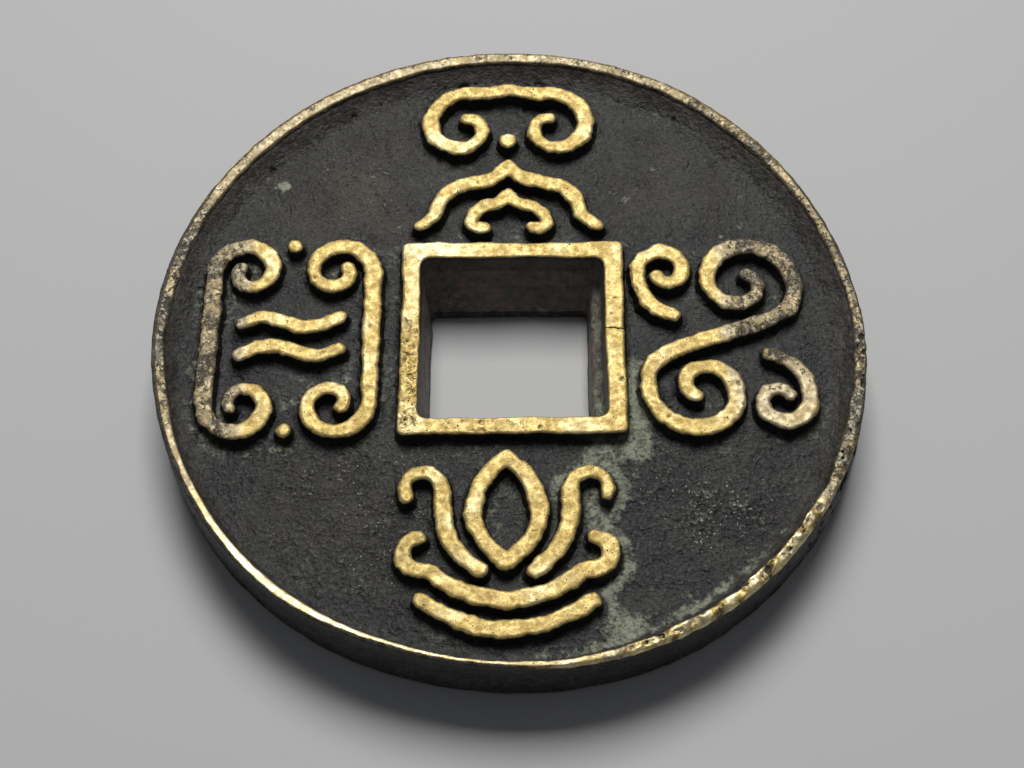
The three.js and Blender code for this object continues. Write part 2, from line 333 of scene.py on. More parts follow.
def dents(f, axes, points):
    """Rounds out pits. points are (x, y, z, rx, ry, rz, angle)."""
    for x, y, z, rx, ry, rz, a in points:
        R = max(rx, ry)
        i = slice(*np.searchsorted(axes[0], [x - 1.4 * R - 0.1, x + 1.4 * R + 0.1]))
        j = slice(*np.searchsorted(axes[1], [y - 1.4 * R - 0.1, y + 1.4 * R + 0.1]))
        k = slice(*np.searchsorted(axes[2], [z - 1.4 * rz - 0.1, z + 1.4 * rz + 0.1]))
        if i.start >= i.stop or j.start >= j.stop or k.start >= k.stop:
            continue
        X, Y, Z = np.meshgrid(axes[0][i] - x, axes[1][j] - y, axes[2][k] - z, indexing="ij")
        c, s = math.cos(a), math.sin(a)
        d = np.sqrt(((X * c + Y * s) / rx) ** 2 + ((-X * s + Y * c) / ry) ** 2 + (Z / rz) ** 2)
        if R < 4 * min(rx, ry):
            d = d + 0.45 * noise(X + x, Y + y, Z + z, 0.8 * min(R, 0.35), 10)
        f[i, j, k] = np.maximum(f[i, j, k], (1 - d) * min(rx, ry, rz))


def mesh_object(name, verts, quads, attributes=None):
    me = bpy.data.meshes.new(name)
    me.vertices.add(len(verts))
    me.vertices.foreach_set("co", (np.asarray(verts, float) / 1000).ravel())
    me.loops.add(quads.size)
    me.loops.foreach_set("vertex_index", np.ascontiguousarray(quads, np.int32).ravel())
    me.polygons.add(len(quads))
    me.polygons.foreach_set("loop_start", np.arange(len(quads), dtype=np.int32) * 4)
    me.polygons.foreach_set("use_smooth", np.ones(len(quads), bool))
    me.update(calc_edges=True)
    me.validate()
    for key, values in (attributes or {}).items():
        me.attributes.new(key, "FLOAT", "POINT").data.foreach_set("value", np.asarray(values, F32))
    ob = bpy.data.objects.new(name, me)
    bpy.context.scene.collection.objects.link(ob)
    return ob


def normals_of(verts, quads):
    a = verts[quads[:, 2]] - verts[quads[:, 0]]
    b = verts[quads[:, 3]] - verts[quads[:, 1]]
    n = np.cross(a, b)
    out = np.zeros_like(verts)
    for i in range(4):
        np.add.at(out, quads[:, i], n)
    return out / np.maximum(np.linalg.norm(out, axis=1, keepdims=True), 1e-12)


def hollows_of(verts, quads, normals, rounds):
    """How far each vertex lies below the mean of those round it, in mm: above 0 in pits, below 0 on crests."""
    e = np.concatenate([quads[:, [0, 1]], quads[:, [1, 2]], quads[:, [2, 3]], quads[:, [3, 0]]])
    deg = np.bincount(e[:, 0], minlength=len(verts)) + np.bincount(e[:, 1], minlength=len(verts))
    mean = verts.astype(float)
    for _ in range(rounds):
        acc = np.stack([np.bincount(e[:, 0], mean[e[:, 1], c], len(verts)) + np.bincount(e[:, 1], mean[e[:, 0], c], len(verts)) for c in range(3)], 1)
        mean = acc / deg[:, None]
    return ((mean - verts) * normals).sum(1)


# ---------------------------------------------------------------- materials
def make_material(name):
    """Brass under a dark skin. The mesh says how worn each place is and where dust has settled; fine grain breaks both up."""
    mat = bpy.data.materials.new(name)
    mat.use_nodes = True
    nt = mat.node_tree
    nt.nodes.clear()
    N, L = nt.nodes.new, nt.links.new

    def put(sock, value):
        if isinstance(value, bpy.types.NodeSocket):
            L(value, sock)
        else:
            sock.default_value = value

    def math_node(op, a, b=None, c=None, clamp=False):
        n = N("ShaderNodeMath")
        n.operation, n.use_clamp = op, clamp
        for i, v in enumerate((a, b, c)):
            if v is not None:
                put(n.inputs[i], v)
        return n.outputs[0]

    def ramp(v, lo, hi, a=0.0, b=1.0, kind="SMOOTHSTEP"):
        n = N("ShaderNodeMapRange")
        n.interpolation_type = kind
        for key, w in zip(("Value", "From Min", "From Max", "To Min", "To Max"), (v, lo, hi, a, b)):
            put(n.inputs[key], w)
        return n.outputs[0]

    def mix(fac, a, b):
        n = N("ShaderNodeMix")
        n.data_type = "RGBA"
        put(n.inputs["Factor"], fac)
        put(n.inputs["A"], a)
        put(n.inputs["B"], b)
        return n.outputs["Result"]

    def texture(scale, detail=3.0, rough=0.55, lump=None):
        n = N("ShaderNodeTexNoise")
        n.inputs["Scale"].default_value = scale
        n.inputs["Detail"].default_value = detail
        n.inputs["Roughness"].default_value = rough
        L(coord, n.inputs["Vector"])
        return n.outputs["Fac"]

    def speckle(scale, feature="F1"):
        n = N("ShaderNodeTexVoronoi")
        n.feature = feature
        n.inputs["Scale"].default_value = scale
        L(coord, n.inputs["Vector"])
        return n.outputs["Distance"]

    def granules(scale):
        """Uneven grains: how far from each grain's middle, and a shade of its own for each."""
        shift = N("ShaderNodeTexNoise")
        shift.inputs["Scale"].default_value = scale * 0.8
        L(coord, shift.inputs["Vector"])
        move = N("ShaderNodeVectorMath")
        move.operation = "MULTIPLY_ADD"
        L(shift.outputs["Color"], move.inputs[0])
        move.inputs[1].default_value = (0.00090, 0.00090, 0.00090)
        L(coord, move.inputs[2])
        n = N("ShaderNodeTexVoronoi")
        n.inputs["Scale"].default_value = scale
        L(move.outputs["Vector"], n.inputs["Vector"])
        return n.outputs["Distance"], n.outputs["Color"]

    def attribute(key):
        n = N("ShaderNodeAttribute")
        n.attribute_name = key
        return n.outputs["Fac"]

    coord = N("ShaderNodeTexCoord").outputs["Object"]
    wear, dust, cav = attribute("wear"), attribute("dust"), attribute("cav")
    tone, polish_and_highlight = attribute("tone"), attribute("polish_and_highlight")
    fill_light_and_dirt, coarse_and_glints = attribute("fill_light_and_dirt"), attribute("coarse_and_glints")

    fine = texture(7500, 2.5, 0.6)  # 0.13 mm grain
    grain = texture(4300, 2.0, 0.5)  # 0.23 mm
    mid = texture(2300, 3.0, 0.55)  # 0.45 mm blotches
    broad = texture(620, 3.0, 0.55)  # 1.6 mm
    hue = texture(1500, 2.0, 0.5)
    wide = texture(230, 2.0, 0.5)  # 4 mm

    # the skin: near black, here greener, there browner, grainier in some parts of the coin, and paler where dust has settled
    strong = math_node("ADD", math_node("MULTIPLY", coarse_and_glints, 0.72), 0.36)
    skin_col = mix(ramp(hue, 0.38, 0.60), (0.0085, 0.0145, 0.0125, 1), (0.0230, 0.0160, 0.0190, 1))
    skin_col = mix(ramp(wide, 0.42, 0.62, 0.0, 0.75), skin_col, (0.0330, 0.0350, 0.0315, 1))
    skin_col = mix(ramp(broad, 0.44, 0.64, 0.0, 0.65), skin_col, (0.0370, 0.0385, 0.0350, 1))
    skin_col = mix(math_node("MULTIPLY", ramp(mid, 0.50, 0.64, 0.0, 0.85), strong), skin_col, (0.0640, 0.0640, 0.0590, 1))
    skin_col = mix(math_node("MULTIPLY", ramp(grain, 0.55, 0.68, 0.0, 0.9), strong), skin_col, (0.1120, 0.1110, 0.1010, 1))
    skin_col = mix(math_node("MULTIPLY", ramp(fine, 0.62, 0.74, 0.0, 0.6), strong), skin_col, (0.150, 0.148, 0.135, 1))
    skin_col = mix(math_node("MULTIPLY", ramp(mid, 0.50, 0.38, 0.0, 0.7), strong), skin_col, (0.0050, 0.0050, 0.0060, 1))
    skin_col = mix(math_node("MULTIPLY", ramp(grain, 0.48, 0.36, 0.0, 0.9), strong), skin_col, (0.0040, 0.0040, 0.0045, 1))
    brown = math_node("MULTIPLY", tone, ramp(mid, 0.35, 0.62, 0.35, 0.9))
    skin_col = mix(brown, skin_col, (0.090, 0.074, 0.052, 1))
    # painted fill light: walls in the shade are painted lighter, in a brown-grey dirt colour, to stand for light that
    # does not reach them
    skin_col = mix(math_node("MULTIPLY", fill_light_and_dirt, ramp(mid, 0.34, 0.62, 0.6, 1.0)), skin_col, mix(ramp(hue, 0.40, 0.60), (0.235, 0.178, 0.150, 1), (0.150, 0.145, 0.135, 1)))
    dusty = math_node("ADD", dust, math_node("MULTIPLY", math_node("SUBTRACT", mid, 0.5), 1.1))
    dusty = math_node("ADD", dusty, math_node("MULTIPLY", math_node("SUBTRACT", grain, 0.5), 0.9))
    dusty = math_node("ADD", dusty, math_node("MULTIPLY", math_node("SUBTRACT", broad, 0.5), 0.9))
    dusty = math_node("MULTIPLY", ramp(dusty, 0.16, 0.74), ramp(dust, 0.02, 0.30))
    crust = math_node("ADD", math_node("MULTIPLY", fine, 0.4), math_node("ADD", math_node("MULTIPLY", mid, 0.3), math_node("MULTIPLY", hue, 0.3)))
    skin_col = mix(dusty, skin_col, mix(ramp(crust, 0.40, 0.58), (0.125, 0.136, 0.098, 1), (0.310, 0.330, 0.240, 1)))
    # painted glints: bright specks painted into the skin's colour where grains of the field would catch the light, in
    # clusters
    chance = math_node("ADD", math_node("MULTIPLY", coarse_and_glints, 0.13), math_node("MULTIPLY", math_node("SUBTRACT", broad, 0.5), 0.30))
    glint = ramp(math_node("ADD", texture(3600, 1.5, 0.5), chance), 0.72, 0.80)
    skin_col = mix(math_node("MULTIPLY", glint, math_node("MULTIPLY", coarse_and_glints, 0.7)), skin_col, (0.230, 0.215, 0.180, 1))
    glint = ramp(math_node("ADD", texture(5600, 1.0, 0.5), chance), 0.76, 0.82)
    skin_col = mix(math_node("MULTIPLY", glint, math_node("MULTIPLY", coarse_and_glints, 0.9)), skin_col, (0.60, 0.58, 0.50, 1))

    # the metal: yellow brass, tan where it is dirty, with a painted highlight of pale cream where it is rubbed hardest
    metal = mix(ramp(math_node("ADD", math_node("MULTIPLY", mid, 0.45), math_node("MULTIPLY", grain, 0.55)), 0.38, 0.62), (0.560, 0.405, 0.135, 1), (0.755, 0.600, 0.255, 1))
    metal = mix(ramp(fine, 0.50, 0.70, 0.0, 0.45), metal, (0.900, 0.810, 0.480, 1))
    metal = mix(ramp(fine, 0.48, 0.34, 0.0, 0.55), metal, (0.420, 0.300, 0.095, 1))
    metal = mix(ramp(broad, 0.50, 0.70, 0.0, 0.35), metal, (0.520, 0.420, 0.220, 1))
    # painted highlight: near-white cream laid over the metal in patches
    metal = mix(math_node("MULTIPLY", polish_and_highlight, ramp(mid, 0.35, 0.60, 0.5, 1.0)), metal, (0.940, 0.860, 0.560, 1))
    # duller cream where it is less rubbed, then grains of every shade from gold to brown-grey with dark gaps between them
    metal = mix(ramp(tone, 0.02, 0.30, 0.0, 0.9), metal, mix(ramp(mid, 0.36, 0.64), (0.440, 0.365, 0.240, 1), (0.660, 0.580, 0.410, 1)))
    off_middle, shade = granules(3700)
    film = math_node("ADD", tone, math_node("MULTIPLY", math_node("SUBTRACT", mid, 0.5), 1.0))
    film = math_node("ADD", film, math_node("MULTIPLY", math_node("SUBTRACT", grain, 0.5), 0.6))
    film = math_node("MULTIPLY", ramp(film, 0.29, 0.77), ramp(tone, 0.05, 0.30))
    film_col = mix(ramp(shade, 0.28, 0.66), (0.120, 0.100, 0.066, 1), (0.520, 0.410, 0.215, 1))
    film_col = mix(ramp(math_node("ADD", shade, math_node("MULTIPLY", math_node("SUBTRACT", fine, 0.5), 0.5)), 0.56, 0.72, 0.0, 0.85), film_col, (0.820, 0.700, 0.420, 1))
    grey = mix(ramp(shade, 0.30, 0.66), (0.085, 0.080, 0.068, 1), (0.300, 0.270, 0.215, 1))
    grey = mix(ramp(shade, 0.60, 0.74, 0.0, 0.8), grey, (0.560, 0.500, 0.390, 1))
    film_col = mix(ramp(math_node("ADD", tone, math_node("MULTIPLY", math_node("SUBTRACT", broad, 0.5), 1.2)), 0.55, 0.85), film_col, grey)
    metal = mix(film, metal, film_col)
    gaps = math_node("MULTIPLY", math_node("MULTIPLY", ramp(off_middle, 0.44, 0.80), film), ramp(wear, 0.3, 0.6))
    # golden brown where the wear tails off at an edge
    metal = mix(ramp(wear, 0.95, 0.55, 0.0, 0.8), metal, (0.270, 0.195, 0.070, 1))

    # where the skin is worn through
    bare_ = math_node("ADD", wear, math_node("MULTIPLY", math_node("SUBTRACT", fine, 0.5), 0.35))
    bare_ = math_node("ADD", bare_, math_node("MULTIPLY", math_node("SUBTRACT", grain, 0.5), 0.55))
    bare_ = math_node("ADD", bare_, math_node("MULTIPLY", math_node("SUBTRACT", mid, 0.5), 0.45))
    bare_ = math_node("SUBTRACT", bare_, math_node("MULTIPLY", cav, 0.9))
    bare_ = ramp(bare_, 0.38, 0.56)
    # pinholes and the gaps between grains keep their dark skin
    specks = math_node("ADD", fine, math_node("MULTIPLY", grain, 0.5))
    specks = ramp(math_node("ADD", specks, math_node("MULTIPLY", coarse_and_glints, 0.075)), 1.0, 0.93)
    pin = math_node("MAXIMUM", specks, math_node("MULTIPLY", polish_and_highlight, 0.7))
    bare_ = math_node("MULTIPLY", bare_, pin)
    bare_ = math_node("MULTIPLY", bare_, math_node("SUBTRACT", 1.0, math_node("MULTIPLY", gaps, 0.58)))

    skin_col = mix(math_node("MULTIPLY", gaps, 0.8), skin_col, (0.018, 0.016, 0.014, 1))
    colour = mix(bare_, skin_col, metal)
    colour = mix(math_node("MULTIPLY", cav, 0.62, clamp=True), colour, (0.0070, 0.0065, 0.0060, 1))

    bsdf = N("ShaderNodeBsdfPrincipled")
    L(colour, bsdf.inputs["Base Color"])
    metallic = math_node("MULTIPLY", ramp(bare_, 0.0, 1.0, 0.10, 0.95), ramp(film, 0.0, 1.0, 1.0, 0.35))
    L(metallic, bsdf.inputs["Metallic"])
    rough_metal = math_node("SUBTRACT", ramp(mid, 0.34, 0.66, 0.70, 0.58), math_node("MULTIPLY", polish_and_highlight, 0.08))
    rough_skin = ramp(mid, 0.3, 0.7, 0.44, 0.62)
    n = N("ShaderNodeMix")
    n.data_type = "FLOAT"
    put(n.inputs["Factor"], bare_)
    put(n.inputs["A"], rough_skin)
    put(n.inputs["B"], rough_metal)
    L(n.outputs["Result"], bsdf.inputs["Roughness"])
    bsdf.inputs["Specular IOR Level"].default_value = 0.34

    # grain of the sand mould on the skin, softer on rubbed metal
    height = math_node("ADD", math_node("MULTIPLY", fine, 0.40), math_node("MULTIPLY", grain, 0.85))
    height = math_node("ADD", height, math_node("MULTIPLY", mid, 0.5))
    height = math_node("MULTIPLY", height, ramp(bare_, 0.0, 1.0, 1.0, 0.24))
    height = math_node("MULTIPLY", height, math_node("ADD", math_node("MULTIPLY", coarse_and_glints, 0.5), 0.65))
    bump = N("ShaderNodeBump")
    bump.inputs["Strength"].default_value = 1.0
    bump.inputs["Distance"].default_value = 0.00015
    L(height, bump.inputs["Height"])
    L(bump.outputs["Normal"], bsdf.inputs["Normal"])
    out = N("ShaderNodeOutputMaterial")
    L(bsdf.outputs["BSDF"], out.inputs["Surface"])
    return mat


BRASS = make_material("worn_brass")
SKIN = make_material("dark_patina")
RUBBED = make_material("rubbed_patina")


def finish_piece(ob, node, material):
    ob.data.materials.append(material)
    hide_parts(node)
    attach(ob, "root")
    return ob


def solidify(name, f, axes, pitch, paint):
    """Meshes a piece. Each vertex gets its hollowness and what paint says of wear, dust, brown tone, polish with a
    painted highlight, painted fill light in a brown-grey dirt colour, and coarse grain with clusters of painted glints.
    """
    origin = [a[0] for a in axes]
    verts, quads = one_body(*surface_nets(f, origin, pitch))
    nrm = normals_of(verts, quads)
    pit = hollows_of(verts, quads, nrm, 3)
    x, y, z = verts.T
    marks = paint(x, y, z, nrm, pit)
    marks["cav"] = np.clip(np.maximum(pit / 0.05, marks.get("cav", 0)), 0, 1)
    return mesh_object(name, verts, quads, marks)


# ---------------------------------------------------------------- where dust and wear lie on the coin
def dust_at(x, y):
    """Pale grey-green crust: right of the hole's near corner, down the right side of the lower strokes, and along the rim at the lower right."""
    zero = 0 * x
    a = np.degrees(np.arctan2(y, x)) % 360
    r = np.hypot(x, y)
    wobble = 0.35 * noise(x, y, zero, 1.4, 12) + 0.15 * noise(x, y, zero, 0.5, 17)
    inner = box_distance(x, y, HOLE_X, HOLE_Y, INNER_RIM[0] / 2, INNER_RIM[1] / 2, 0.4)
    d = np.minimum(stroke_distance(x, y), np.maximum(inner, 0)) + wobble
    collar = step(0.0, 0.25, d) * step(1.15, 0.65, d)
    patch = step(-0.25, 0.45, noise(x, y, zero, 2.4, 11) + 0.35 * noise(x, y, zero, 0.8, 12))
    beside = step(1.15, 0.45, np.abs(x - 7.45 - 0.10 * (y + 4)) + 0.9 * wobble) * step(4.4, 2.2, np.abs(y + 4.6) + wobble) * step(2.0, -2.5, y)
    corner = step(1.3, 0.45, np.abs((x - 4.9) - 0.9 * (y + 8.0)) * 0.75 + wobble) * step(4.0, 2.8, np.hypot(x - 4.9, y + 8.0))
    lower = step(3.0, 1.6, np.abs(x - 6.6 + 0.10 * (y + 12.0))) * step(5.6, 3.8, np.abs(y + 12.4))
    to_rim = np.interp(a, CREST[0], CREST[1]).astype(F32) - 0.28 - r
    band = step(0.02, 0.16, to_rim) * step(1.0, 0.30, to_rim + 0.8 * wobble)
    near_right = 0.82 * near_angle(a, 300, 26) ** 0.5 * band
    wedge = 0.8 * near_angle(a, 290, 7) * step(2.3, 1.2, to_rim + wobble) * step(0.02, 0.2, to_rim)
    near_left = 0.45 * near_angle(a, 274, 12) * band * patch
    left_zone = 0.30 * step(-6.6, -7.6, x) * step(8.5, 6.5, np.abs(y + 0.5)) * collar * patch
    other = 0.20 * collar * patch
    spots = step(0.66, 0.84, noise(x, y, zero, 1.1, 97)) * 0.45
    chip = 1.3 * np.exp(-(((x + 13.75) / 0.48) ** 2 + ((y - 10.95) / 0.34) ** 2)) + 0.9 * np.exp(-(((x + 14.75) / 0.22) ** 2 + ((y - 11.45) / 0.18) ** 2))
    out = np.maximum.reduce([beside * (0.75 + 0.25 * patch), corner * (0.55 + 0.45 * patch), lower * collar * (0.60 + 0.45 * patch), near_right, wedge, near_left, left_zone, other, spots * 0.6, chip])
    return np.clip(out, 0, 1)


def brown_at(x, y):
    """Olive-brown dirt on the upper left of the field and in the upper right."""
    up_left = np.exp(-(((x + 9.0) / 5.5) ** 2 + ((y - 11.0) / 4.5) ** 2))
    up_right = np.exp(-(((x - 9.5) / 5.5) ** 2 + ((y - 11.5) / 4.0) ** 2))
    low_left = np.exp(-(((x + 9.0) / 5.0) ** 2 + ((y + 11.0) / 4.0) ** 2))
    patch = step(-0.35, 0.5, noise(x, y, 0 * x, 1.7, 13) + 0.5 * noise(x, y, 0 * x, 0.6, 14))
    return np.clip((0.9 * up_left + 0.35 * up_right + 0.35 * low_left) * (0.3 + 0.7 * patch), 0, 1)


def dull_at(x, y):
    """Patches where strokes and rims keep a brown film: the far left and the right of the coin."""
    left = step(-14.6, -16.6, x)
    right = step(11.6, 14.2, x) * (0.35 + 0.65 * step(-4.5, -1.0, y))
    patch = step(-0.30, 0.30, noise(x, y, 0 * x, 1.0, 91) + 0.45 * noise(x, y, 0 * x, 0.42, 92))
    return np.clip((0.58 + 0.32 * patch) * np.maximum(left, right), 0, 1)


def polish_and_highlight_at(x, y):
    """Where it is rubbed brightest, painted paler as a highlight and made a little smoother: the upper left of the
    inner rim and of the strokes, in soft patches.
    """
    corner = np.exp(-(((x + 4.6) / 2.6) ** 2 + ((y - 5.9) / 0.9) ** 2))
    return np.clip(1.0 * corner + 0.45 * step(0.15, 0.75, noise(x, y, 0 * x, 1.5, 95) + 0.3 * noise(x, y, 0 * x, 0.5, 96)), 0, 1)


def pitted_at(x, y):
    """Where the rubbed tops are full of fine pits: the lower left of the inner rim and what lies near it."""
    lower_left = np.exp(-(((x + 5.7) / 1.6) ** 2 + ((y + 3.8) / 3.2) ** 2))
    return np.clip(lower_left + 0.35 * step(0.1, 0.7, noise(x, y, 0 * x, 2.0, 19)), 0, 1)


def sparks_at(x, y):
    """Grains of the field rubbed through to the metal, and where the painted glints cluster, most in the lower left and
    lower right.
    """
    low_left = np.exp(-(((x + 8.5) / 5.5) ** 2 + ((y + 11.0) / 5.0) ** 2))
    low_right = np.exp(-(((x - 10.5) / 5.5) ** 2 + ((y + 11.0) / 4.5) ** 2))
    patch = 0.65 + 0.5 * noise(x, y, 0 * x, 2.2, 18)
    return np.clip((0.10 + 0.90 * low_left + 0.90 * low_right + 0.62 * np.exp(-(((x + 9.5) / 3.6) ** 2 + ((y - 11.0) / 3.2) ** 2))) * patch, 0, 1)


# ---------------------------------------------------------------- raised strokes
def stroke_piece(name, index):
    seg = OUTLINES[name]
    pitch = 0.07
    lo, hi = seg.reshape(-1, 2).min(0) - 0.45, seg.reshape(-1, 2).max(0) + 0.45
    axes, p = grid((lo[0], lo[1], 3.70), (hi[0], hi[1], 5.12), pitch)
    gx, gy = np.meshgrid(axes[0], axes[1], indexing="ij")
    d2 = outline_distance(seg, gx, gy)
    zero = np.zeros_like(gx)
    # the cutter's hand: the outline wanders, swells and pinches
    d2 = d2 + 0.080 * noise(gx, gy, zero, 1.5, 21) + 0.068 * noise(gx, gy, zero, 0.6, 22) + 0.052 * noise(gx, gy, zero, 0.3, 23) + 0.025 * noise(gx, gy, zero, 0.18, 20) + 0.045
    # the rubbed top is not quite level
    top = (4.97 - 0.032 * (1 + noise(gx, gy, zero, 2.2, 24)) - 0.018 * (1 + noise(gx, gy, zero, 0.95, 25))
           - 0.016 * (1 + noise(gx, gy, zero, 0.5, 26)) - 0.010 * (1 + noise(gx, gy, zero, 0.28, 29)))
    X, Y, Z = np.meshgrid(*axes, indexing="ij")
    low = np.clip(top[:, :, None] - Z, 0, 2)
    side = d2[:, :, None] - 0.15 * low - 0.07 * np.exp(-np.maximum(Z - 4.0, 0) / 0.18)
    f = meet(side, Z - top[:, :, None], 0.20)
    band = np.abs(f) < 0.3
    f[band] += skin(X[band], Y[band], Z[band])
    f = np.maximum(f, 3.82 - Z).astype(F32)
    rs = np.random.RandomState(100 + index)
    inner = np.argwhere(d2 < -0.05)
    area = len(inner) * pitch * pitch
    pits = []
    for _ in range(int(area * 0.30)):
        i, j = inner[rs.randint(len(inner))]
        r = 0.04 + 0.07 * rs.rand() ** 2
        pits.append((axes[0][i], axes[1][j], top[i, j] + 0.03, r, r * (1.0 + 1.8 * rs.rand()), r * (0.7 + 0.5 * rs.rand()), rs.rand() * 3))
    dents(f, axes, pits)

    def paint(x, y, z, n, pit):
        t = 4.86 - z + 0.05 * noise(x, y, z, 0.9, 27) + 0.05 * noise(x, y, z, 0.3, 28)
        dull = dull_at(x, y)
        wear = step(0.20, 0.06, t) * step(0.15, 0.70, n[:, 2]) * (1 - 0.22 * dull)
        dust = dust_at(x, y) * step(4.75, 4.15, z)
        tone = np.maximum(dull * step(4.5, 4.75, z), 0.15 * step(4.8, 4.1, z))
        # the rubbed patches get a painted highlight as well as polish
        return {"wear": wear, "dust": dust, "tone": tone, "polish_and_highlight": polish_and_highlight_at(x, y) * (1 - dull), "fill_light_and_dirt": 0 * x, "coarse_and_glints": 0.25 * pitted_at(x, y),
                "cav": 0.9 * step(0.10, 0.24, t)}

    ob = solidify(name + "_cast", f, axes, p, paint)
    return finish_piece(ob, name, BRASS)


# ---------------------------------------------------------------- rims
# direction in degrees, and the radii between which the crest of the outer rim is flat
CREST = np.array([
    (0, 20.20, 20.60), (8, 20.06, 20.46), (15, 19.95, 20.32), (30, 19.88, 20.24), (45, 19.78, 20.26), (60, 19.86, 20.36), (72, 19.86, 20.36),
    (90, 19.77, 20.30), (105, 19.80, 20.32), (120, 19.83, 20.36), (135, 19.82, 20.40), (150, 19.95, 20.46), (165, 19.98, 20.44), (180, 20.03, 20.44),
    (195, 20.00, 20.36), (205, 20.02, 20.32), (212, 20.05, 20.34), (218, 20.08, 20.42), (225, 20.11, 20.50), (232, 20.10, 20.54), (240, 20.05, 20.40),
    (246, 20.02, 20.26), (252, 19.98, 20.14), (260, 20.02, 20.16), (265, 20.07, 20.20), (270, 20.13, 20.28), (277, 20.19, 20.44), (285, 20.24, 20.52),
    (292, 20.26, 20.56), (300, 20.28, 20.54), (308, 20.30, 20.60), (315, 20.28, 20.60), (322, 20.26, 20.60), (330, 20.28, 20.64), (336, 20.24, 20.66),
    (343, 20.18, 20.66), (351, 20.16, 20.64), (360, 20.14, 20.60)]).T


def rim_angles(x, y):
    """Direction from the centre in degrees, and how much of the near side's shape holds there."""
    a = np.degrees(np.arctan2(y, x)) % 360
    return a, near_angle(a, 262, 95) ** 0.7


def rim_wall(x, y, z, a, near):
    """Radius of the outer rim's inner wall at each height."""
    crest_in = np.interp(a, CREST[0], CREST[1]).astype(F32)
    calm = 1 - 0.75 * step(0.0, 0.5, near_angle(a, 238, 45))  # the worn near left is even
    rough = 1 + 0.9 * near_angle(a, 322, 42) ** 0.5
    zero = 0 * x
    return (crest_in - 0.04 - (0.50 - 0.34 * near) * step(5.02, 4.0, z) ** 1.3
            + (0.065 * noise(x, y, zero, 1.7, 34) + 0.045 * noise(x, y, zero, 0.6, 35) * rough) * calm)



